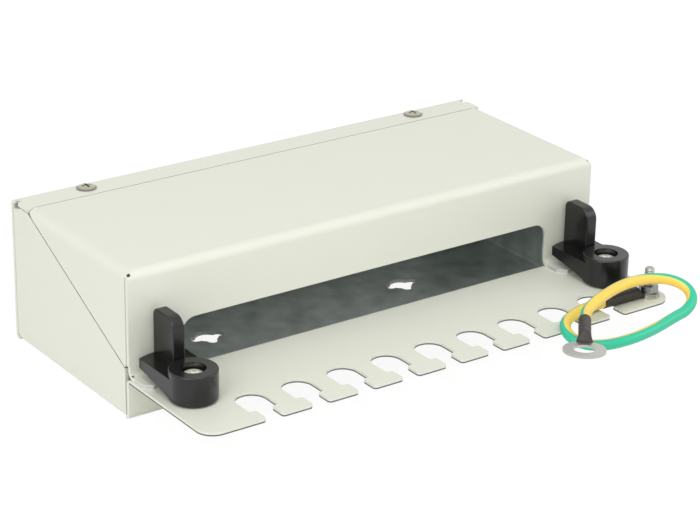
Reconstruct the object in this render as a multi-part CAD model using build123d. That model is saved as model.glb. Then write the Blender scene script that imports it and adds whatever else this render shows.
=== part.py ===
from build123d import *
import math
import os

os.makedirs("parts", exist_ok=True)

# Desktop patch panel: a folded steel tray with a cable comb, a folded steel cover,
# two swinging plastic latches and an earth lead. Millimetres, +X to the right along
# the width, +Y to the back, +Z up. The origin is the middle of the tray's underside.

# Sheet steel and its folds
sheet = 1.5
tray_bend = 1.0
cover_bend = 2.0
seam = 0.4

# Tray
tray_width = 220.0
tray_depth = 88.5
case_height = 59.5
flange_depth = 13.5
side_front_height = 20.6
ease_run = 6.0
ease_drop = 1.7
relief_width = 2.2
relief_length = 3.2

# Comb of cable teeth on the tray's front
comb_height = 16.8
comb_reach = 54.0
comb_corner = 7.0
notch_count = 9
notch_pitch = 20.25
notch_width = 12.4
notch_depth = 21.8
tooth_head_width = 13.4
tooth_head_length = 7.4
tooth_corner = 1.5
neck_corner = 1.0

# Keyholes in the floor, for hanging the panel on a wall
keyhole_spacing = 96.0
keyhole_setback = 45.0
keyhole_head = 9.4
keyhole_slot = 4.6
keyhole_span = 14.6
keyhole_reach = 5.6

# Row of jack openings in the back wall
port_count = 8
port_pitch = 24.0
port_width = 14.7
port_height = 16.4
port_middle = 31.0

# Cover
cover_overhang = 0.5
butt_gap = 0.3
flap_gap = 0.6
corner_hole = 1.4
lip_gap = 0.3
lip_inset = 5.0
lip_slope = 70.0
lip_press = 0.3
leg_width = 22.8
slot_height = 36.0
slot_corner = 6.0
foot_reach = 11.3
foot_chamfer = 3.2
foot_inset = 0.5

# M4 screws and clinch nuts
thread = 4.0
thread_gap = 0.05
nut_collar = 5.4
nut_body = 7.0
nut_length = 3.5
nut_collar_length = 1.3
nut_chamfer = 0.3
cover_screw_margin = 30.0
cover_screw_inset = 6.3
cover_screw_head = 8.2
cover_screw_dome = 1.1
cover_screw_stand = 0.35
cover_screw_length = 8.8
recess_width = 1.0
recess_span = 4.4
recess_depth = 1.7
recess_taper = 12.0

# Latches
latch_inset = 12.0
latch_clearance = 1.0
latch_radius = 9.3
latch_height = 12.4
latch_gap = 0.2
latch_reach = 24.5
arm_top = 9.5
arm_thickness = 3.4
arm_drop = 3.0
arm_root = 8.0
tail_round = 2.4
latch_bore_gap = 0.06
counterbore = 9.7
counterbore_depth = 5.0
grip_thickness = 5.0
grip_length = 14.4
grip_end_gap = 0.6
grip_height = 28.0
grip_front_round = 5.0
grip_back_round = 2.5
pad_inner = 15.0
pad_outer = 22.0
pad_width = 6.0
pad_gap = 0.3
latch_round = 0.6
boss_foot_round = 1.2
latch_screw_head = 8.4
latch_screw_head_height = 2.8
latch_screw_round = 1.2

# Earth stud with its washer, nut, lugs and lead
stud_inset = 6.7
stud_setback = 46.6
stud_top = 29.0
stud_head = 6.4
stud_head_thickness = 0.9
stud_point = 0.8
washer_diameter = 8.6
washer_thickness = 0.8
nut_flats = 7.0
nut_thickness = 3.2
lug_plate = 1.0
small_ring = 9.2
small_hole = 4.3
large_ring = 16.4
large_hole = 8.4
neck_length = 1.6
barrel = 3.8
barrel_bore = 2.4
barrel_length = 7.0
barrel_floor = 1.5
sleeve = 4.9
sleeve_length = 18.0
sleeve_lift = 0.1
sleeve_gap = 0.03
wire = 4.4

# Places that several pieces share
front = -tray_depth / 2
back = tray_depth / 2
side = tray_width / 2
fold = tray_bend + sheet
flange_front = back - flange_depth
flange_underside = case_height - sheet
comb_underside = comb_height - sheet
wall_top = flange_underside - seam
cover_front = front - cover_overhang
cover_back = flange_front - butt_gap
foot_top = comb_height + sheet
latch_x = side - latch_inset
latch_y = cover_front - latch_clearance - latch_reach
cover_screw_x = side - cover_screw_margin
cover_screw_y = back - cover_screw_inset
lip_top = flange_underside - lip_gap
lip_underside = lip_top - sheet
stud_x = side - stud_inset
stud_y = front - stud_setback


def write(node, solid):
    """Write one piece and print its size."""
    solid.label = node
    export_step(solid, "parts/" + node + ".step")
    box = solid.bounding_box()
    print(node, "volume", round(solid.volume, 1), "low", box.min, "high", box.max)


def folded_sheet(corners, bends, width):
    """Fold a strip of sheet along a path in the YZ plane, with the metal on its left."""
    points = [Vector(y, z) for y, z in corners]
    runs = [(b - a).normalized() for a, b in zip(points, points[1:])]
    lefts = [Vector(-run.Y, run.X) for run in runs]
    other = [points[0] + lefts[0] * sheet]
    near_radii = []
    far_radii = []
    for i, bend in enumerate(bends):
        mitre = (lefts[i] + lefts[i + 1]) * (sheet / (1 + lefts[i].dot(lefts[i + 1])))
        other.append(points[i + 1] + mitre)
        turns_left = runs[i].X * runs[i + 1].Y > runs[i].Y * runs[i + 1].X
        near_radii.append(bend + sheet if turns_left else bend)
        far_radii.append(bend if turns_left else bend + sheet)
    other.append(points[-1] + lefts[-1] * sheet)
    near = FilletPolyline(*points, radius=near_radii)
    far = FilletPolyline(*other, radius=far_radii)
    section = make_face([*near.edges(), *far.edges(), Line(near @ 0, far @ 0), Line(near @ 1, far @ 1)])
    return extrude(Plane.YZ * section, amount=width / 2, both=True)


def side_prism(corners, reach):
    """Fill a polygon of the YZ plane across the panel's width."""
    outline = make_face(Polyline(*corners, close=True))
    return extrude(Plane.YZ * outline, amount=reach, both=True)


def seam_height(y):
    """Height of the slanted seam between the tray's side and the cover's flap."""
    rise = (wall_top - side_front_height) / (flange_front - front - fold)
    return side_front_height + (y - front - fold) * rise


def seam_offset(gap):
    """Vertical distance that leaves a gap across the slanted seam."""
    rise = (wall_top - side_front_height) / (flange_front - front - fold)
    return gap * math.sqrt(1 + rise**2)


def comb_outline():
    """Plan of the comb: a strip with rounded notches whose mouths the T heads narrow."""
    tip = front - comb_reach
    shoulder = tip + tooth_head_length
    round_centre = tip + notch_depth - notch_width / 2
    mouth = notch_pitch - tooth_head_width
    plan = Pos(0, (tip + front) / 2) * Rectangle(tray_width, comb_reach)
    for i in range(notch_count):
        x = (i - (notch_count - 1) / 2) * notch_pitch
        plan -= Pos(x, round_centre) * Circle(notch_width / 2)
        plan -= Pos(x, (round_centre + shoulder) / 2) * Rectangle(notch_width, round_centre - shoulder)
        plan -= Pos(x, (shoulder + tip) / 2) * Rectangle(mouth, tooth_head_length)
    tips = plan.vertices().filter_by(lambda v: abs(v.Y - tip) < 0.01)
    ends = tips.filter_by(lambda v: abs(v.X) > side - 0.01)
    heads = tips.filter_by(lambda v: abs(v.X) < side - 0.01)
    plan = fillet(ends, comb_corner)
    plan = fillet(plan.vertices().filter_by(lambda v: any(same_place(v, h) for h in heads)), tooth_corner)
    necks = plan.vertices().filter_by(lambda v: abs(v.Y - shoulder) < 0.01)
    return fillet(necks, neck_corner)


def same_place(a, b):
    """Say whether two corners are the same point."""
    return abs(a.X - b.X) < 0.01 and abs(a.Y - b.Y) < 0.01


def keyhole():
    """Plan of a keyhole: a round hole with slots to the left, the right and the front."""
    cross = SlotOverall(keyhole_span, keyhole_slot)
    forward = SlotOverall(keyhole_reach + keyhole_slot / 2, keyhole_slot, rotation=90)
    forward = Pos(0, -keyhole_reach / 2) * forward
    return Circle(keyhole_head / 2) + cross + forward


def base_tray():
    """Floor, sides, back wall with its flange, front wall and comb, folded from one sheet."""
    path = [
        (front - comb_reach, comb_underside),
        (front, comb_underside),
        (front, 0),
        (back, 0),
        (back, case_height),
        (flange_front, case_height),
    ]
    strip = folded_sheet(path, [tray_bend] * 4, tray_width)
    walls = [(-side, case_height), (-side, 0), (side, 0), (side, case_height)]
    inner = [(x - math.copysign(sheet, x), max(z, sheet)) for x, z in walls]
    rim = FilletPolyline(*walls, radius=fold)
    well = FilletPolyline(*inner, radius=tray_bend)
    section = make_face([*rim.edges(), *well.edges(), Line(rim @ 0, well @ 0), Line(rim @ 1, well @ 1)])
    channel = extrude(Plane.XZ * section, amount=tray_depth, both=True)
    wall_back = back - sheet - seam
    outline = [
        (front + fold, 0),
        (back - fold, 0),
        (back - fold, fold),
        (wall_back, fold),
        (wall_back, wall_top - ease_drop),
        (wall_back - ease_run, wall_top),
        (flange_front, wall_top),
        (front + fold, side_front_height),
    ]
    channel &= side_prism(outline, side)
    floor_zone = Pos(0, 0, fold / 2) * Box(tray_width, tray_depth - 2 * fold, fold)
    tray = (strip - floor_zone) + channel

    comb_zone = Pos(0, front - comb_reach / 2) * Rectangle(tray_width, comb_reach)
    waste = extrude(Pos(0, 0, comb_underside - sheet) * (comb_zone - comb_outline()), amount=3 * sheet)
    tray -= waste

    for hand in (-1, 1):
        notch_y = back - fold - relief_length / 2
        tray -= Pos(hand * side, notch_y, case_height) * Box(2 * relief_width, relief_length, 4 * sheet)
        keyhole_cut = extrude(keyhole(), 3 * sheet)
        tray -= Pos(hand * keyhole_spacing / 2, front + keyhole_setback, -sheet) * keyhole_cut
        tray -= Pos(hand * latch_x, latch_y, comb_height) * Cylinder(nut_collar / 2 + thread_gap, 4 * sheet)
        wide = (cover_screw_head - thread) / 2
        sink = Cone(thread / 2 + thread_gap, thread / 2 + thread_gap + wide, wide)
        rim_height = case_height + cover_screw_stand
        tray -= Pos(hand * cover_screw_x, cover_screw_y, rim_height - wide / 2) * sink
        through = Cylinder(thread / 2 + thread_gap, 4 * sheet)
        tray -= Pos(hand * cover_screw_x, cover_screw_y, case_height) * through

    tray -= Pos(stud_x, stud_y, comb_height) * Cylinder(thread / 2 + thread_gap, 4 * sheet)
    recess = stud_head_thickness + thread_gap
    tray -= Pos(stud_x, stud_y, comb_underside + recess / 2) * Cylinder(stud_head / 2 + thread_gap, recess)

    for i in range(port_count):
        x = (i - (port_count - 1) / 2) * port_pitch
        tray -= Pos(x, back, port_middle) * Box(port_width, 4 * sheet, port_height)
    return tray


def cover():
    """Top, side flaps, front face with its feet and the hidden lip, folded from one sheet."""
    depth = cover_back - cover_front
    shell = Pos(0, cover_front + depth / 2, case_height / 2) * Box(tray_width, depth, case_height)
    shell = fillet(shell.edges().group_by(Axis.Z)[-1].sort_by(Axis.Y)[:-1], cover_bend + sheet)
    hollow_depth = depth + sheet
    hollow_height = 2 * case_height
    hollow = Pos(0, cover_front + sheet + hollow_depth / 2, flange_underside - hollow_height / 2)
    hollow *= Box(tray_width - 2 * sheet, hollow_depth, hollow_height)
    hollow = fillet(hollow.edges().group_by(Axis.Z)[-1].sort_by(Axis.Y)[:-1], cover_bend)
    shell -= hollow

    behind = cover_front + sheet
    rise = seam_offset(seam)
    waste = [
        (behind, -sheet),
        (back, -sheet),
        (back, seam_height(back) + rise),
        (behind, seam_height(behind) + rise),
    ]
    shell -= side_prism(waste, tray_width)
    leg_top = foot_top + 2 * cover_bend
    shell -= Pos(0, cover_front, leg_top / 2) * Box(2 * tray_width, 4 * sheet, leg_top)

    corner_z = flange_underside - corner_hole / 2
    for hand in (-1, 1):
        gap_z = corner_z / 2
        shell -= Pos(hand * side, behind + flap_gap / 2, gap_z) * Box(4 * sheet, flap_gap, corner_z)
        aim = Plane(
            origin=(hand * (side - sheet), cover_front + sheet, flange_underside),
            z_dir=(hand, -1, 1),
        )
        shell -= aim * Cylinder(corner_hole / 2, 8 * sheet)

    slot_width = tray_width - 2 * leg_width
    slot = Rectangle(slot_width, 2 * slot_height)
    slot = fillet(slot.vertices().group_by(Axis.Y)[-1], slot_corner)
    face_plane = Plane(origin=(0, cover_front, 0), x_dir=(1, 0, 0), z_dir=(0, -1, 0))
    shell -= extrude(face_plane * slot, 2 * sheet, both=True)

    leg_path = [
        (cover_front - foot_reach, comb_height),
        (behind, comb_height),
        (behind, leg_top),
    ]
    foot_width = leg_width - foot_inset
    foot = folded_sheet(leg_path, [cover_bend], foot_width)
    toes = foot.edges().filter_by(Axis.Z).group_by(Axis.Y)[0]
    foot = chamfer(toes, foot_chamfer)
    for hand in (-1, 1):
        shell += Pos(hand * (side - foot_inset - foot_width / 2), 0, 0) * foot

    slope = math.radians(lip_slope)
    drop = flange_underside - lip_underside
    lean = sheet * math.tan(slope / 2)
    step_start = cover_back - lean - drop / math.tan(slope)
    lip_path = [
        (step_start - 3 * sheet, flange_underside),
        (step_start, flange_underside),
        (step_start + drop / math.tan(slope), lip_underside),
        (back - fold, lip_underside),
    ]
    lip = folded_sheet(lip_path, [lip_press, lip_press], tray_width - 2 * lip_inset)
    for hand in (-1, 1):
        nut_hole = Cylinder(nut_collar / 2 + thread_gap, 4 * sheet)
        lip -= Pos(hand * cover_screw_x, cover_screw_y, lip_top) * nut_hole
    return shell + lip


def clinch_nut():
    """Round clinch nut whose collar sits in the sheet above it, with its seat at z = 0."""
    body = Pos(0, 0, -nut_length / 2) * Cylinder(nut_body / 2, nut_length)
    collar = Pos(0, 0, nut_collar_length / 2) * Cylinder(nut_collar / 2, nut_collar_length)
    through = Cylinder(thread / 2 + thread_gap, 4 * nut_length)
    nut = body + collar - through
    lower_rim = nut.edges().filter_by(GeomType.CIRCLE).sort_by(Axis.Z)[:2]
    return chamfer(lower_rim, nut_chamfer)


def cross_recess(top):
    """Cross-shaped driver recess that narrows downwards from the given height."""
    cross = Rectangle(recess_span, recess_width) + Rectangle(recess_width, recess_span)
    return extrude(Pos(0, 0, top) * cross, -recess_depth, taper=recess_taper)


def cover_screw():
    """Raised countersunk screw, with its head's rim at z = 0."""
    head = cover_screw_head / 2
    shank = thread / 2
    ball = (head**2 + cover_screw_dome**2) / (2 * cover_screw_dome)
    half_way = cover_screw_dome - ball + math.sqrt(ball**2 - head**2 / 4)
    profile = [
        Line((0, -cover_screw_length), (shank, -cover_screw_length)),
        Line((shank, -cover_screw_length), (shank, shank - head)),
        Line((shank, shank - head), (head, 0)),
        ThreePointArc((head, 0), (head / 2, half_way), (0, cover_screw_dome)),
        Line((0, cover_screw_dome), (0, -cover_screw_length)),
    ]
    screw = revolve(Plane.XZ * make_face(profile), Axis.Z)
    return screw - cross_recess(cover_screw_dome)


def latch():
    """Swinging plastic latch, with its pivot at the origin and its arm along +Y."""
    boss = Pos(0, 0, latch_gap + (latch_height - latch_gap) / 2)
    boss *= Cylinder(latch_radius, latch_height - latch_gap)
    boss = fillet(boss.edges().sort_by(Axis.Z)[-1], latch_round)
    boss = fillet(boss.edges().sort_by(Axis.Z)[0], boss_foot_round)

    arm_underside = arm_top - arm_thickness
    profile = make_face(
        Polyline(
            (arm_root, arm_top),
            (latch_reach, arm_top),
            (latch_reach, arm_underside),
            (arm_root, arm_underside - arm_drop),
            close=True,
        )
    )
    tail_corner = profile.vertices().group_by(Axis.X)[-1].sort_by(Axis.Y)[0]
    profile = fillet(tail_corner, tail_round)
    arm = extrude(Plane.YZ * profile, latch_radius, both=True)
    arm &= Pos(0, 0, latch_height / 2) * Cylinder(latch_reach, latch_height)
    neck = Pos(0, arm_root / 2, arm_top - arm_thickness / 2) * Box(2 * latch_radius, arm_root, arm_thickness)
    arm += neck - Pos(0, -latch_radius, arm_top) * Box(4 * latch_radius, 2 * latch_radius, 4 * arm_top)

    grip_back = latch_reach - grip_end_gap
    grip_front = grip_back - grip_length
    plate = make_face(
        Polyline(
            (grip_front, arm_top - latch_round),
            (grip_front, grip_height),
            (grip_back, grip_height),
            (grip_back, arm_top - latch_round),
            close=True,
        )
    )
    crest = plate.vertices().group_by(Axis.Y)[-1].sort_by(Axis.X)
    plate = fillet(crest[0], grip_front_round)
    plate = fillet(plate.vertices().group_by(Axis.Y)[-1].sort_by(Axis.X)[-1], grip_back_round)
    grip = extrude(Plane.YZ * plate, grip_thickness / 2, both=True)
    cheeks = [grip.faces().sort_by(Axis.X)[0], grip.faces().sort_by(Axis.X)[-1]]
    rims = [edge for cheek in cheeks for edge in cheek.edges() if edge.center().Z > arm_top]
    grip = fillet(rims, latch_round)

    pad_floor = sheet + pad_gap
    ring = Cylinder(pad_outer, arm_top - pad_floor) - Cylinder(pad_inner, arm_top - pad_floor)
    pad = Pos(0, 0, (arm_top + pad_floor) / 2) * ring
    pad &= Pos(0, (pad_inner + pad_outer) / 2, arm_top / 2) * Box(pad_width, 2 * pad_outer, 2 * arm_top)
    pad &= Pos(0, pad_outer, 0) * Box(4 * pad_outer, 2 * pad_outer, 4 * arm_top)

    body = boss + arm + grip + pad
    body -= Cylinder(thread / 2 + latch_bore_gap, 4 * latch_height)
    body -= Pos(0, 0, latch_height) * Cylinder(counterbore / 2, 2 * counterbore_depth)
    return body


def latch_screw():
    """Pan head screw on which a latch swings, with its head's seat at z = 0."""
    head = latch_screw_head / 2
    shank = thread / 2
    seat_height = latch_height - counterbore_depth + latch_gap
    length = seat_height + sheet + nut_length
    top = Pos(0, 0, latch_screw_head_height / 2) * Cylinder(head, latch_screw_head_height)
    top = fillet(top.edges().sort_by(Axis.Z)[-1], latch_screw_round)
    screw = top + Pos(0, 0, -length / 2) * Cylinder(shank, length)
    return screw - cross_recess(latch_screw_head_height)


def earth_stud():
    """Flush-head clinch stud with a bluntly pointed thread."""
    height = stud_top - comb_underside
    shaft = Pos(0, 0, height / 2) * Cylinder(thread / 2, height)
    shaft = chamfer(shaft.edges().sort_by(Axis.Z)[-1], stud_point)
    flange = Pos(0, 0, stud_head_thickness / 2) * Cylinder(stud_head / 2, stud_head_thickness)
    return Pos(stud_x, stud_y, comb_underside) * (shaft + flange)


def ring_lug(ring, hole):
    """Crimp lug with its ring's underside centred on the origin and its barrel along +X."""
    axis_height = sleeve / 2 + sleeve_lift
    neck_start = ring / 2
    neck_end = neck_start + neck_length
    plate = Circle(ring / 2) + Pos(neck_start / 2, 0) * Rectangle(neck_start, barrel)
    plate = extrude(plate, lug_plate)
    foot = Plane(origin=(neck_start, 0, lug_plate / 2), x_dir=(0, 1, 0), z_dir=(1, 0, 0))
    end = Plane(origin=(neck_end, 0, axis_height), x_dir=(0, 1, 0), z_dir=(1, 0, 0))
    neck = loft([foot * Rectangle(barrel, lug_plate), end * Circle(barrel / 2)])
    tube = extrude(end * Circle(barrel / 2), barrel_length)
    bore = extrude(Pos(barrel_floor, 0, 0) * (end * Circle(barrel_bore / 2)), barrel_length)
    return plate + neck + tube - bore - Cylinder(hole / 2, 4 * lug_plate)


def lug_sleeve(ring):
    """Insulating sleeve over a lug's barrel, closed where the lead comes out of it."""
    axis_height = sleeve / 2 + sleeve_lift
    start = ring / 2 + neck_length
    end = Plane(origin=(start, 0, axis_height), x_dir=(0, 1, 0), z_dir=(1, 0, 0))
    skin = extrude(end * Circle(sleeve / 2), sleeve_length)
    far_rim = skin.edges().filter_by(GeomType.CIRCLE).sort_by(Axis.X)[-1]
    skin = fillet(far_rim, (sleeve - wire) / 4)
    pocket = extrude(end * Circle(barrel / 2 + sleeve_gap), barrel_length + sleeve_gap)
    return skin - pocket


def lug_length(ring):
    """Distance from a lug's ring centre to the end of its sleeve."""
    return ring / 2 + neck_length + sleeve_length


# Route of the lead, from the end of the fixed lug's sleeve to the end of the free one's:
# round to the front of the comb, back past the stud and forward again to the free lug
lead_height = comb_height + sleeve / 2 + sleeve_lift
lead_route = [
    (stud_x - lug_length(small_ring), stud_y, lead_height),
    (71.2, stud_y, lead_height),
    (61.8, -93.3, 19.4),
    (53.4, -97.8, 19.3),
    (49.9, -104.7, 17.6),
    (52.6, -111.8, 15.8),
    (60.5, -115.6, 15.3),
    (70.5, -117.1, 15.7),
    (79.6, -116.4, 15.9),
    (88.8, -114.8, 16.3),
    (98.2, -112.5, 16.8),
    (104.6, -111.6, 17.2),
    (110.2, -109.5, 19.5),
    (112.4, -104.8, 22.4),
    (109.4, -99.5, 25.0),
    (102.6, -95.5, 26.3),
    (93.4, -94.0, 26.8),
    (83.5, -95.3, 27.1),
    (75.3, -97.8, 27.1),
    (66.6, -100.5, 26.6),
    (58.5, -103.9, 25.0),
    (53.1, -110.2, 25.7),
]


def earth_wire():
    """Bendy lead: straight runs joined by arcs as large as the runs allow."""
    points = [Vector(*point) for point in lead_route]
    runs = [b - a for a, b in zip(points, points[1:])]
    radii = []
    for before, after in zip(runs, runs[1:]):
        turn = math.radians(before.get_angle(after))
        shorter = min(before.length, after.length)
        radii.append(0.45 * shorter / math.tan(turn / 2))
    path = FilletPolyline(*points, radius=radii)
    section = Plane(origin=points[0], z_dir=runs[0]) * Circle(wire / 2)
    lead = sweep(section, path=path)
    print("lead radii", [round(radius, 1) for radius in radii])
    print("lead runs", [round(run.length, 1) for run in runs])
    print("lead length", round(path.length, 2), "volume ratio", lead.volume / (section.area * path.length))
    return lead


write("base_tray", base_tray())
write("cover", cover())
for hand, name in ((-1, "left"), (1, "right")):
    head_height = case_height + cover_screw_stand
    write("cover_screw_" + name, Pos(hand * cover_screw_x, cover_screw_y, head_height) * cover_screw())
    write("cover_nut_" + name, Pos(hand * cover_screw_x, cover_screw_y, lip_underside) * clinch_nut())
    write("latch_" + name, Pos(hand * latch_x, latch_y, comb_height) * latch())
    seat = comb_height + latch_height - counterbore_depth + latch_gap
    write("latch_screw_" + name, Pos(hand * latch_x, latch_y, seat) * latch_screw())
    write("latch_nut_" + name, Pos(hand * latch_x, latch_y, comb_underside) * clinch_nut())

write("earth_stud", earth_stud())
turned = Pos(stud_x, stud_y, comb_height) * Rot(0, 0, 180)
write("lug_fixed", turned * ring_lug(small_ring, small_hole))
write("sleeve_fixed", turned * lug_sleeve(small_ring))
washer_seat = comb_height + lug_plate
washer = Cylinder(washer_diameter / 2, washer_thickness) - Cylinder(small_hole / 2, washer_thickness)
write("earth_washer", Pos(stud_x, stud_y, washer_seat + washer_thickness / 2) * washer)
nut = extrude(RegularPolygon(nut_flats / 2, 6, major_radius=False), nut_thickness)
nut -= Cylinder(thread / 2 + thread_gap, 4 * nut_thickness)
write("earth_nut", Pos(stud_x, stud_y, washer_seat + washer_thickness) * nut)
write("earth_wire", earth_wire())

lead_end = Vector(*lead_route[-1])
lead_in = (Vector(*lead_route[-2]) - lead_end).normalized()
lug_up = (Vector(0, 0, 1) - lead_in * lead_in.Z).normalized()
ring_centre = lead_end - lead_in * lug_length(large_ring) - lug_up * (sleeve / 2 + sleeve_lift)
free_end = Plane(origin=ring_centre, x_dir=lead_in, z_dir=lug_up)
write("lug_free", free_end * ring_lug(large_ring, large_hole))
write("sleeve_free", free_end * lug_sleeve(large_ring))
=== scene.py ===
# %% [markdown]
# # Desktop patch panel
# A folded sheet steel case with a comb for tying cables down, a slotted cover that two
# black latches hold, and a looped earth lead. The case, the latches and the fasteners
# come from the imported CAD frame. This script gives them their finishes, lays the lead,
# adds a few forms, and lights the studio.
# Every length is in metres, and every piece is placed in the frame's own axes.

# %% Load the frame
import math

import bpy
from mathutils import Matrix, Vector


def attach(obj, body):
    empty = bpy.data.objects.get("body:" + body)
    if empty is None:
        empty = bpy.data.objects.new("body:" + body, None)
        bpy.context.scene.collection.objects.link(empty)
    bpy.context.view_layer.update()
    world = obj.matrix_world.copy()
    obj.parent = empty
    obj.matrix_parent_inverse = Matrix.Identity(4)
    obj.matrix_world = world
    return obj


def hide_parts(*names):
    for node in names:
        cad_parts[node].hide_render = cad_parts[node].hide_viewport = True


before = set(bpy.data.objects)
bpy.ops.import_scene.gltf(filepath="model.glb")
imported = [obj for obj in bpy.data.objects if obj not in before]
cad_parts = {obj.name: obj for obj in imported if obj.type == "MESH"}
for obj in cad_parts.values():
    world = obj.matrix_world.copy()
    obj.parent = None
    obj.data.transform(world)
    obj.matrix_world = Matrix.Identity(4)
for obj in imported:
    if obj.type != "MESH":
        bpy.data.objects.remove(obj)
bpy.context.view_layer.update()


# %% [markdown]
# ## The camera
# The panel was photographed with a long lens from the front left and a little above,
# so its edges stay nearly parallel. A short lens close by would spread them instead.
# The place, the tilt and the lens below were fitted to the panel's corners in the
# photograph.

# %% Place the camera
camera_place = (-0.50973, -0.74155, 0.40588)
camera_tilt = (66.8796, -0.9323, -35.1948)
lens = bpy.data.cameras.new("product_lens")
lens.sensor_width = 36.0
lens.lens = 124.0
lens.clip_start = 0.05
lens.clip_end = 20.0
camera = bpy.data.objects.new("camera", lens)
camera.location = camera_place
camera.rotation_euler = [math.radians(angle) for angle in camera_tilt]
bpy.context.collection.objects.link(camera)
scene = bpy.context.scene
scene.camera = camera
print("camera", tuple(camera.location), "lens", lens.lens)

# %% [markdown]
# ## The earth lead
# A real lead is a round, springy conductor that takes the easiest curve between its
# two lugs. It could be a swept mesh, but a curve with a round bevel is simpler to draw
# and to change. Its control points are the route that the CAD wire follows, and an
# order of three rounds them.
#
# Blender measures a curve's box with each point's own radius, which is one metre unless
# it is set. So the points carry the lead's radius here, and the bevel multiplies it by one.

# %% Lay the lead
lead_diameter = 0.0044
lead_route = [
    (0.0791, -0.09085, 0.01935), (0.0712, -0.09085, 0.01935), (0.0618, -0.0933, 0.0194),
    (0.0534, -0.0978, 0.0193), (0.0499, -0.1047, 0.0176), (0.0526, -0.1118, 0.0158),
    (0.0605, -0.1156, 0.0153), (0.0705, -0.1171, 0.0157), (0.0796, -0.1164, 0.0159),
    (0.0888, -0.1148, 0.0163), (0.0982, -0.1125, 0.0168), (0.1046, -0.1116, 0.0172),
    (0.1102, -0.1095, 0.0195), (0.1124, -0.1048, 0.0224), (0.1094, -0.0995, 0.025),
    (0.1026, -0.0955, 0.0263), (0.0934, -0.094, 0.0268), (0.0835, -0.0953, 0.0271),
    (0.0753, -0.0978, 0.0271), (0.0666, -0.1005, 0.0266), (0.0585, -0.1039, 0.025),
    (0.0531, -0.1102, 0.0257),
]
lead_curve = bpy.data.curves.new("earth_lead", "CURVE")
lead_curve.dimensions = "3D"
lead_curve.bevel_depth = 1.0
lead_curve.bevel_resolution = 8
lead_curve.resolution_u = 12
lead_curve.use_fill_caps = True
spline = lead_curve.splines.new("NURBS")
spline.points.add(len(lead_route) - 1)
for point, place in zip(spline.points, lead_route):
    point.co = (*place, 1.0)
    point.radius = lead_diameter / 2
spline.order_u = 3
spline.use_endpoint_u = True
lead = bpy.data.objects.new("earth_lead", lead_curve)
bpy.context.collection.objects.link(lead)
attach(lead, "panel")
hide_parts("earth_wire")

# %% [markdown]
# ## Shader arithmetic
# A finish that changes over a surface is a small sum of masks and noises. Wiring such a
# sum by hand takes a line for every node, so the class below wraps a socket and lets
# the sum read like ordinary arithmetic. A comparison gives a mask of zero or one.

# %% Wrap sockets
class Signal:
    """An output socket in a node tree, with Python's operators on it."""

    def __init__(self, nodes, socket):
        self.nodes = nodes
        self.socket = socket

    def calculate(self, operation, *values):
        """Add a Math node that works on these values."""
        return self.nodes.node("ShaderNodeMath", {"operation": operation}, dict(enumerate(values)))

    def __add__(self, other):
        return self.calculate("ADD", self, other)

    def __sub__(self, other):
        return self.calculate("SUBTRACT", self, other)

    def __mul__(self, other):
        return self.calculate("MULTIPLY", self, other)

    def __rsub__(self, other):
        return self.calculate("SUBTRACT", other, self)

    def __gt__(self, other):
        return self.calculate("GREATER_THAN", self, other)

    def __lt__(self, other):
        return self.calculate("LESS_THAN", self, other)

    def __abs__(self):
        return self.calculate("ABSOLUTE", self)

    __radd__ = __add__
    __rmul__ = __mul__


print("sockets take arithmetic")

# %% [markdown]
# ## One way to add a node
# Materials and the sky both hold a tree of nodes. Code for each kind of node would soon
# repeat itself, so one method adds any node to either tree. The helpers for ramps, for
# directions and for what the camera sees are built on that method.

# %% Add nodes
class Nodes:
    """A node tree, and the one method that adds nodes to it."""

    def __init__(self, tree):
        self.tree = tree

    def put(self, socket, value):
        """Set or link any input socket. A colour of three numbers gets an alpha of one."""
        if isinstance(value, Signal):
            self.tree.links.new(value.socket, socket)
        elif socket.type == "RGBA":
            socket.default_value = (*value, 1.0)
        else:
            socket.default_value = value

    def node(self, kind, settings=None, inputs=None, output=0):
        """Add any node: its settings first, then the values or links of its sockets."""
        made = self.tree.nodes.new(kind)
        for name, value in (settings or {}).items():
            setattr(made, name, value)
        for socket, value in (inputs or {}).items():
            self.put(made.inputs[socket], value)
        return Signal(self, made.outputs[output])

    def vector(self, operation, first, second, output="Vector"):
        """Add a Vector Math node on two vectors."""
        inputs = {0: first, 1: second}
        return self.node("ShaderNodeVectorMath", {"operation": operation}, inputs, output)

    def dot(self, first, second):
        """How far two vectors point the same way."""
        return self.vector("DOT_PRODUCT", first, second, output="Value")

    def ramp(self, value, low, high, at_low=0.0, at_high=1.0):
        """Turn a range of a value into another range, and hold it at the ends."""
        inputs = {
            "Value": value, "From Min": low, "From Max": high, "To Min": at_low, "To Max": at_high,
        }
        return self.node("ShaderNodeMapRange", {"clamp": True}, inputs)

    def seen_or_mirrored(self):
        """One for what the camera sees, directly or in a reflection."""
        camera_ray = self.node("ShaderNodeLightPath", output="Is Camera Ray")
        glossy_ray = self.node("ShaderNodeLightPath", output="Is Glossy Ray")
        return camera_ray.calculate("MAXIMUM", camera_ray, glossy_ray)


print("one method adds any node")

# %% [markdown]
# ## A finish
# Paint, plating and plastic are all one material with one Principled shader. What
# differs is the numbers and the few nodes that feed it, so a finish is a node tree with
# names for the colours mixed on the surface, its mottling and its fine bumps.

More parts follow.
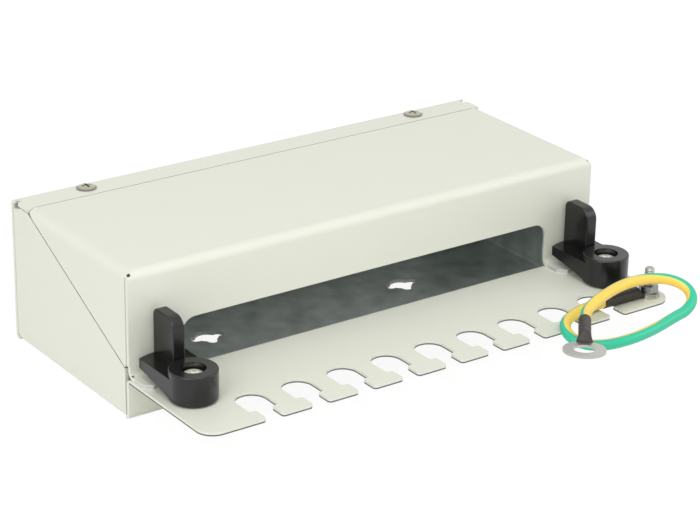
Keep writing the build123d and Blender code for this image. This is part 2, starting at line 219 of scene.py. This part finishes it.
# %% Describe a finish
class Finish(Nodes):
    """A material with one Principled shader and the nodes that feed it."""

    def __init__(self, name, **constants):
        self.material = bpy.data.materials.new(name)
        self.material.use_nodes = True
        super().__init__(self.material.node_tree)
        self.shader = self.tree.nodes["Principled BSDF"]
        for socket, value in constants.items():
            self.feed(socket.replace("_", " "), value)

    def feed(self, socket, value):
        """Set a socket of the shader, or link a signal to it."""
        self.put(self.shader.inputs[socket], value)

    def mix(self, mask, first, second):
        """Mix two colours: the first where the mask is zero, the second where it is one."""
        inputs = {0: mask, 6: first, 7: second}
        return self.node("ShaderNodeMix", {"data_type": "RGBA"}, inputs, output=2)

    def place(self):
        """The point on the surface, in metres of the frame."""
        return self.node("ShaderNodeTexCoord", output="Object")

    def axes(self, vector):
        """The three numbers of a vector."""
        split = self.node("ShaderNodeSeparateXYZ", inputs={0: vector})
        outputs = split.socket.node.outputs
        return [Signal(self, outputs[axis]) for axis in range(3)]

    def noise(self, scale, detail=2.0):
        """Soft random mottling, between about 0.3 and 0.7."""
        inputs = {"Vector": self.place(), "Scale": scale, "Detail": detail}
        return self.node("ShaderNodeTexNoise", inputs=inputs)

    def bump(self, scale, distance, strength):
        """Let a fine noise tilt the surface a little."""
        inputs = {"Height": self.noise(scale), "Distance": distance, "Strength": strength}
        self.feed("Normal", self.node("ShaderNodeBump", inputs=inputs))


print("finishes can be written as sums")

# %% [markdown]
# ## Light grey paint, bare insides, and cut edges with painted shade
# The sheet looks like galvanised steel that was painted on one side, then cut and
# folded. So its outside is a warm light grey with a green tinge and a barely visible
# orange peel, and its inside is bare, dark and mottled. Its cut edges along the comb and
# in the seams are near black: partly bare cut metal, and partly a painted shadow along
# the lower half of the comb's edges and painted shade in the seams between the cover and
# the tray. Only the edges of the cover's feet are bright zinc. Separate materials for
# each face would need the mesh cut up. One finish can tell them apart instead, by where
# the surface is and which way it faces.

# %% Set the sheet's colours and limits
paint_grey, paint_shade = (0.73, 0.745, 0.65), (0.715, 0.73, 0.635)
bare_dark, bare_light = (0.44, 0.48, 0.45), (0.66, 0.71, 0.68)
# Near black for the cut edges: bare cut metal and painted shade together.
foot_zinc, edge_and_shade_grey = (0.62, 0.63, 0.62), (0.12, 0.12, 0.115)
paint_mottle, zinc_mottle, orange_peel = 55.0, 120.0, 1400.0
zinc_detail, noise_low, noise_gain = 4.0, 0.3, 2.5
bare_shine, foot_shine = 0.3, 0.8

# An edge's face looks no further up than its tilt, and a slit's face looks across its seam.
edge_tilt, foot_tilt = 0.7, 0.5
side_match, roof_match = 0.98, 0.95

case_middle = (0.0, 0.0, 0.03)
comb_top, foot_top = 0.0169, 0.0182
foot_front, foot_back = -0.0562, -0.0475
comb_back, comb_low, burr_and_shadow_top = -0.0445, 0.0150, 0.0159
side_skin, roof_skin = 0.1085, 0.0582
roof_seam_front, roof_seam_back, roof_seam_reach = 0.020, 0.0425, 0.106
seam_rise = 0.51
seam_across = Vector((0.0, -seam_rise, 1.0)).normalized()
print("slope of the side seam", seam_rise)


# %% Write the sheet's finish
def sheet_finish(name, inner_x, inner_front, inner_back, inner_low, inner_high, bare_feet=0.0):
    """Paint outside these limits, and galvanised steel on the faces inside them."""
    finish = Finish(name, Roughness=0.42)
    place = finish.place()
    x, y, z = finish.axes(place)
    facing = finish.node("ShaderNodeNewGeometry", output="True Normal")
    backward, upward = [abs(part) for part in finish.axes(facing)[1:]]
    lean = finish.dot(facing, finish.vector("SUBTRACT", place, case_middle))

    inside = (abs(x) < inner_x) * (y > inner_front) * (y < inner_back)
    inside = inside * (z > inner_low) * (z < inner_high) * (lean < 0.0)
    spangle = (finish.noise(zinc_mottle, detail=zinc_detail) - noise_low) * noise_gain
    paint = finish.mix(finish.noise(paint_mottle), paint_grey, paint_shade)
    colour = finish.mix(inside, paint, finish.mix(spangle, bare_dark, bare_light))

    # Painted shadow on the lower half of the comb's cut edges, and painted shade on the cut faces
    # in the seams, over their bare metal.
    burr_and_shadow = (upward < edge_tilt) * (y < comb_back) * (z < burr_and_shadow_top) * (z > comb_low)
    side_slit = (abs(x) > side_skin) * (abs(finish.dot(facing, seam_across)) > side_match)
    roof_slit = (z > roof_skin) * (backward > roof_match) * (abs(x) < roof_seam_reach)
    roof_slit = roof_slit * (y > roof_seam_front) * (y < roof_seam_back)
    cut_edge_and_shade = burr_and_shadow * (1.0 - bare_feet) + side_slit + roof_slit
    colour = finish.mix(cut_edge_and_shade, colour, edge_and_shade_grey)

    foot = (z < foot_top) * (z > comb_top) * (y < foot_back) * (y > foot_front)
    foot = foot * (upward < foot_tilt)
    finish.feed("Base Color", finish.mix(foot * bare_feet, colour, foot_zinc))
    finish.feed("Metallic", inside * bare_shine + foot * (foot_shine * bare_feet))
    finish.bump(scale=orange_peel, distance=0.00003, strength=0.35)
    return finish


tray_paint = sheet_finish(
    "tray_paint", inner_x=0.1092, inner_front=-0.0435, inner_back=0.0435,
    inner_low=0.00145, inner_high=0.0588,
)
cover_paint = sheet_finish(
    "cover_paint", inner_x=0.1092, inner_front=-0.0440, inner_back=0.0430,
    inner_low=0.0008, inner_high=0.0588, bare_feet=1.0,
)
print("sheet finishes", tray_paint.material.name, cover_paint.material.name)

# %% [markdown]
# ## Nickel on the screws
# The screws are nickel plated. Under even white light a plated head looks flat, so the
# rim of each cover screw gets a painted shade, as the dome turns away from the light
# there, and its driver recess a darker painted shade still. The heads in the latches lie
# deep in black bosses and get painted light: a brighter, less mirror-like nickel, or they
# would only show the black walls round them.

# %% Plate the screws
# A nickel with painted light for the latch heads, and nickels with painted shade for the rims and
# recesses of the cover screws.
nickel_plain, nickel_painted_light = (0.50, 0.47, 0.37), (0.95, 0.92, 0.84)
nickel_rim_shade, nickel_recess_shade = (0.30, 0.29, 0.24), (0.20, 0.18, 0.15)
recess_radius, rim_radius = 0.0023, 0.0034
screw_x, screw_y, screw_top = 0.080, 0.03795, 0.0605
cover_level = 0.05
plain_shine, bright_shine = 1.0, 0.6

nickel = Finish("nickel", Roughness=0.2)
across, back, height = nickel.axes(nickel.place())
off_x, off_y = abs(across) - screw_x, back - screw_y
from_axis = off_x * off_x + off_y * off_y
on_cover = height > cover_level
# Painted shade on the rim and in the recess of each cover screw, painted light on the latch heads.
rim_shade = (from_axis > rim_radius ** 2) * on_cover
recess_shade = (from_axis < recess_radius ** 2) * (height < screw_top) * on_cover
head_colour = nickel.mix(on_cover, nickel_painted_light, nickel_plain)
head_colour = nickel.mix(rim_shade, head_colour, nickel_rim_shade)
nickel.feed("Base Color", nickel.mix(recess_shade, head_colour, nickel_recess_shade))
nickel.feed("Metallic", on_cover * (plain_shine - bright_shine) + bright_shine)
print("screws plated")

# %% [markdown]
# ## Zinc, tin and plastics
# The nuts and the stud are zinc plated and the lugs are tinned copper, a little uneven
# from the dip. The latches are moulded in black with a soft shine, and the sleeves over
# the lugs are a duller, browner black. On these small pieces a plain colour is enough
# for the zinc, and the others get a fine bump as well. The earth nut, under the lead,
# gets a darker zinc as painted shade.

# %% Make the small finishes
zinc = Finish("zinc", Base_Color=(0.40, 0.40, 0.37), Metallic=1.0, Roughness=0.3)
# A darker zinc for the earth nut: painted shade under the lead.
shaded_zinc = Finish("shaded_zinc", Base_Color=(0.30, 0.31, 0.31), Metallic=1.0, Roughness=0.3)
tin = Finish("tinned_copper", Base_Color=(0.52, 0.52, 0.49), Metallic=1.0, Roughness=0.3)
tin.bump(scale=700.0, distance=0.00004, strength=0.5)
black = Finish("latch_black", Base_Color=(0.0065, 0.0065, 0.0065), Roughness=0.24)
black.bump(scale=900.0, distance=0.00003, strength=0.35)
sleeve = Finish("sleeve_plastic", Base_Color=(0.022, 0.0165, 0.014), Roughness=0.5)
sleeve.bump(scale=260.0, distance=0.0004, strength=0.6)
print("small finishes", [f.material.name for f in (zinc, shaded_zinc, tin, black, sleeve)])

# %% [markdown]
# ## The two colours of the lead
# An earth lead has yellow along one side and green along the other. On this loop the
# green side is the outer one, so the colour follows the way that the surface faces,
# compared with the way to the middle of the loop. A real lead also twists a little
# along its length, so the line between the colours is turned up or down by where on
# the loop it is.

# %% Colour the lead
yellow, green = (0.93, 0.65, 0.10), (0.024, 0.53, 0.31)
loop_middle = (0.0815, -0.1055, 0.0)
level_only = (1.0, 1.0, 0.0)
edge_blur = 0.03
turn_from, turn_to, right_tilt = 0.084, 0.109, -0.95
arc_from, arc_to = -0.113, -0.101
front_tilt, back_tilt = 0.04, 0.36

insulation = Finish("wire_insulation", Roughness=0.34)
surface = insulation.place()
from_middle = insulation.vector("SUBTRACT", surface, loop_middle)
outward = insulation.vector("MULTIPLY", from_middle, level_only)
away = insulation.node("ShaderNodeVectorMath", {"operation": "NORMALIZE"}, {0: outward})
facing = insulation.node("ShaderNodeNewGeometry", output="Normal")
along_x, depth = insulation.axes(surface)[:2]
right_turn = insulation.ramp(along_x, turn_from, turn_to, 0.0, right_tilt)
back_arc = insulation.ramp(depth, arc_from, arc_to, front_tilt, back_tilt)
twist = right_turn + back_arc
tilted = insulation.dot(facing, away) - twist * insulation.axes(facing)[2]
outer_side = insulation.ramp(tilted, -edge_blur, edge_blur)
insulation.feed("Base Color", insulation.mix(outer_side, yellow, green))
lead_curve.materials.append(insulation.material)
print("lead coloured")

# %% [markdown]
# ## A skin over rings of points
# The sleeves and the threaded stud are long round pieces whose outline changes along
# them. Spinning one profile could make neither: the sleeve's rings flatten, and the
# stud's rings follow a helix. So each is a stack of rings of points, and one helper
# skins them.

# %% Skin a stack of rings
around = 40


def skin(name, rings, finish, stands_for):
    """Join rings of points into a closed skin that stands for a CAD node."""
    vertices = [point for ring in rings for point in ring]
    count = len(rings[0])
    faces = [tuple(reversed(range(count)))]
    for row in range(len(rings) - 1):
        for step in range(count):
            after = (step + 1) % count
            low, high = row * count, (row + 1) * count
            faces.append((low + step, low + after, high + after, high + step))
    last = (len(rings) - 1) * count
    faces.append(tuple(range(last, last + count)))
    mesh = bpy.data.meshes.new(name)
    mesh.from_pydata(vertices, [], faces)
    mesh.polygons.foreach_set("use_smooth", [len(face.vertices) == 4 for face in mesh.polygons])
    mesh.materials.append(finish.material)
    made = bpy.data.objects.new(name, mesh)
    bpy.context.collection.objects.link(made)
    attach(made, "panel")
    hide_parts(stands_for)
    print(name, len(mesh.polygons), "faces")
    return made


print("each ring has", around, "points")

# %% [markdown]
# ## The sleeves
# Each lug's crimp wears a soft plastic sleeve, pulled on by hand. It starts flat on the
# lug's ring, rises and rounds over the crimp, and runs on over the lead with slight
# waves where it has been pushed. The waves die out towards the lead.

# %% Shape a sleeve
sleeve_radius, sleeve_axis, sleeve_length = 0.00245, 0.00255, 0.018
sleeve_mouth = 0.00228
neck_length = 0.0016
plate_middle, plate_cover = 0.0006, 0.0009
ring_overlap = 0.0010
neck_rings, body_rings = 8, 36
broad_wave, fine_wave = 0.00007, 0.00005
broad_turn, fine_turn, fine_start = 19.0, 41.0, 1.0


def sleeve_ring(origin, along, up, distance, half_width, half_height, height):
    """One oval ring of a sleeve, at a distance from the lug's ring centre."""
    across = up.cross(along)
    centre = origin + along * distance + up * height
    ring = []
    for step in range(around):
        angle = 2 * math.pi * step / around
        width_part = across * (half_width * math.cos(angle))
        ring.append(centre + width_part + up * (half_height * math.sin(angle)))
    return ring


def lug_sleeve(name, origin, along, up, ring_radius, flare, stands_for):
    """A sleeve that starts flat on the lug's ring and ends round on the lead."""
    start = ring_radius + neck_length
    flat_start = ring_radius - ring_overlap
    rings = []
    for step in range(neck_rings):
        share = step / neck_rings
        ease = share * share * (3 - 2 * share)
        distance = flat_start + (start - flat_start) * share
        half_width = flare + (sleeve_radius - flare) * ease
        half_height = plate_cover + (sleeve_radius - plate_cover) * ease
        height = plate_middle + (sleeve_axis - plate_middle) * ease
        rings.append(sleeve_ring(origin, along, up, distance, half_width, half_height, height))
    for step in range(body_rings + 1):
        share = step / body_rings
        wave = broad_wave * math.sin(broad_turn * share)
        wave += fine_wave * math.sin(fine_turn * share + fine_start)
        radius = sleeve_radius + wave * (1 - share)
        distance = start + sleeve_length * share
        rings.append(sleeve_ring(origin, along, up, distance, radius, radius, sleeve_axis))
    end = start + sleeve_length
    rings.append(sleeve_ring(origin, along, up, end, sleeve_mouth, sleeve_mouth, sleeve_axis))
    return skin(name, rings, sleeve, stands_for)


print("a sleeve has", neck_rings + body_rings + 2, "rings")

# %% Pull the sleeves over the lugs
world_up, to_left = Vector((0, 0, 1)), Vector((-1, 0, 0))
free_ring, free_flare = 0.0082, 0.0034
fixed_ring, fixed_flare = 0.0046, 0.0024
free_centre = Vector((0.0349325, -0.131395, 0.025496))
free_along = (Vector(lead_route[-2]) - Vector(lead_route[-1])).normalized()
free_up = (world_up - free_along * free_along.z).normalized()
stud_place = Vector((0.1033, -0.09085, 0.0168))
free_skin = lug_sleeve(
    "sleeve_free_skin", free_centre, free_along, free_up, free_ring, free_flare, "sleeve_free",
)
fixed_skin = lug_sleeve(
    "sleeve_fixed_skin", stud_place, to_left, world_up, fixed_ring, fixed_flare, "sleeve_fixed",
)

# %% [markdown]
# ## Where the lead starts
# A lead bends but doesn't stretch. Its route starts where it leaves its fixed sleeve.

print("cord from", lead_route[0])

# %% [markdown]
# ## The stud's thread
# The earth stud is a threaded rod on a thin round collar that sits in the sheet. A bump
# could fake the thread, but the stud stands up against white, so its outline shows.
# Each ring's radius follows a saw of the height and the angle together, which is a helix.

# %% Cut the stud's thread
stud_bottom, stud_top = 0.0153, 0.0290
collar_radius, collar_height = 0.0032, 0.0009
thread_radius, thread_depth, thread_pitch = 0.0020, 0.00038, 0.0007
stud_point = 0.0006
rows_per_turn = 8


def stud_ring(z, radii):
    """One ring of the stud, with a radius for each step round it."""
    ring = []
    for step, radius in enumerate(radii):
        angle = 2 * math.pi * step / around
        x = stud_place.x + radius * math.cos(angle)
        ring.append(Vector((x, stud_place.y + radius * math.sin(angle), z)))
    return ring


def thread_radii(z):
    """The thread's radius at each step round the stud, at this height."""
    radii = []
    for step in range(around):
        phase = (z / thread_pitch - step / around) % 1.0
        radius = thread_radius - thread_depth * abs(2 * phase - 1)
        radii.append(min(radius, thread_radius - stud_point + (stud_top - z)))
    return radii


thread_bottom = stud_bottom + collar_height
rows = round((stud_top - stud_bottom - collar_height) / thread_pitch * rows_per_turn)
collar = [collar_radius] * around
stud_rings = [stud_ring(stud_bottom, collar), stud_ring(thread_bottom, collar)]
for row in range(rows + 1):
    z = thread_bottom + (stud_top - stud_bottom - collar_height) * row / rows
    stud_rings.append(stud_ring(z, thread_radii(z)))
skin("earth_stud_thread", stud_rings, zinc, "earth_stud")

# %% [markdown]
# ## Webs under the latch arms
# A moulded arm keeps its depth until it runs into its round boss, because a sudden step
# would crack. The CAD latch steps up just before the boss, so a short web goes on with
# the arm's underside there, in a soft curve. It stays nearer the pivot than the cover's
# foot, so it clears the foot wherever the latch swings. A strip of points is swept
# across the arm's width: one row under the arm, and one row buried in it.

# %% Add the webs
pivot_x, pivot_y = 0.098, -0.07025
web_half_width = 0.00928
web_near, web_far = 0.0003, 0.0083
web_top = comb_top + 0.0063
arm_underside = comb_top + 0.00315
arm_slope, web_flare = 0.18, 0.0008
web_stations = 12


def web(body, middle):
    """A curved filler between one latch's arm and its boss."""
    left, right = middle - web_half_width, middle + web_half_width
    points = []
    for step in range(web_stations + 1):
        share = step / web_stations
        inward = (web_far - web_near) * share
        y = pivot_y + web_far - inward
        low = arm_underside - arm_slope * inward - web_flare * share * share
        points += [(left, y, low), (right, y, low), (right, y, web_top), (left, y, web_top)]
    faces = [(0, 1, 2, 3), tuple(4 * web_stations + corner for corner in (3, 2, 1, 0))]
    for step in range(web_stations):
        for corner in range(4):
            after = (corner + 1) % 4
            near, far = 4 * step, 4 * (step + 1)
            faces.append((near + corner, far + corner, far + after, near + after))
    mesh = bpy.data.meshes.new(body + "_web")
    mesh.from_pydata(points, [], faces)
    mesh.materials.append(black.material)
    made = bpy.data.objects.new(body + "_web", mesh)
    bpy.context.collection.objects.link(made)
    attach(made, body)
    return made


webs = [web("left_latch", -pivot_x), web("right_latch", pivot_x)]
print("webs", [made.name for made in webs])

# %% [markdown]
# ## Finishes on the frame
# Each CAD piece keeps its shape and place, and only takes its finish here. A list of
# pieces for each finish is easier to check than a line for every piece.

# %% Give each piece its finish
worn_by = {
    tray_paint: ["base_tray"],
    cover_paint: ["cover"],
    nickel: ["cover_screw_left", "cover_screw_right", "latch_screw_left", "latch_screw_right"],
    zinc: [
        "cover_nut_left", "cover_nut_right", "latch_nut_left", "latch_nut_right",
        "earth_stud", "earth_washer",
    ],
    # The earth nut wears the zinc with painted shade.
    shaded_zinc: ["earth_nut"],
    tin: ["lug_fixed", "lug_free"],
    black: ["latch_left", "latch_right"],
    sleeve: ["sleeve_fixed", "sleeve_free"],
    insulation: ["earth_wire"],
}
for finish, names in worn_by.items():
    for name in names:
        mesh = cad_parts[name].data
        mesh.materials.clear()
        mesh.materials.append(finish.material)
print("finished", sum(len(names) for names in worn_by.values()), "pieces")

# %% [markdown]
# ## The ground and the sky
# The photograph has a white ground that fades into a white background. More light would
# bleach the paint, so the ground glows only for the camera and for reflections, and
# still catches a faint shadow. The sky does the same: it is white where it is seen, and
# about half as strong where it lights the panel.

# %% Lay the ground
floor_size, floor_drop = 6.0, 0.0002
ground_glow, glow_share = 1.06, 0.86
white = (1.0, 1.0, 1.0)
bpy.ops.mesh.primitive_plane_add(size=floor_size, location=(0, 0, -floor_drop))
floor = bpy.context.object
floor.name = "floor"
ground = Finish("ground", Base_Color=(0.92, 0.92, 0.92), Roughness=0.9)
glow = ground.node("ShaderNodeEmission", inputs={"Color": white, "Strength": ground_glow})
lit = Signal(ground, ground.shader.outputs["BSDF"])
seen = ground.seen_or_mirrored() * glow_share
blend = ground.node("ShaderNodeMixShader", inputs={0: seen, 1: lit, 2: glow})
ground.put(ground.tree.nodes["Material Output"].inputs["Surface"], blend)
floor.data.materials.append(ground.material)
print("ground laid")

# %% Hang the sky
room_level = 0.53
world = bpy.data.worlds.new("studio")
scene.world = world
world.use_nodes = True
sky = Nodes(world.node_tree)
background = sky.tree.nodes["Background"]
sky.put(background.inputs["Color"], white)
sky.put(background.inputs["Strength"], sky.ramp(sky.seen_or_mirrored(), 0.0, 1.0, room_level, 1.0))
print("sky level", room_level)

# %% [markdown]
# ## The lamps
# The painted faces in the photograph are almost equally bright, which takes large soft
# lights: a broad one overhead, one from the front left and a weaker one from the right.

# %% Light the panel
panel_middle = Vector((0.0, -0.03, 0.03))


def softbox(name, place, size, power):
    """A square area light that points at the panel."""
    light = bpy.data.lights.new(name, "AREA")
    light.shape = "SQUARE"
    light.size = size
    light.energy = power
    lamp = bpy.data.objects.new(name, light)
    lamp.location = place
    lamp.rotation_euler = (panel_middle - Vector(place)).to_track_quat("-Z", "Y").to_euler()
    bpy.context.collection.objects.link(lamp)


softbox("overhead", place=(-0.2, -0.6, 1.2), size=1.2, power=7.4)
softbox("front_left", place=(-1.2, -0.65, 0.8), size=0.9, power=8.4)
softbox("right", place=(1.1, -0.7, 0.7), size=0.8, power=3.0)
scene.view_settings.view_transform = "Standard"
print("studio lit")
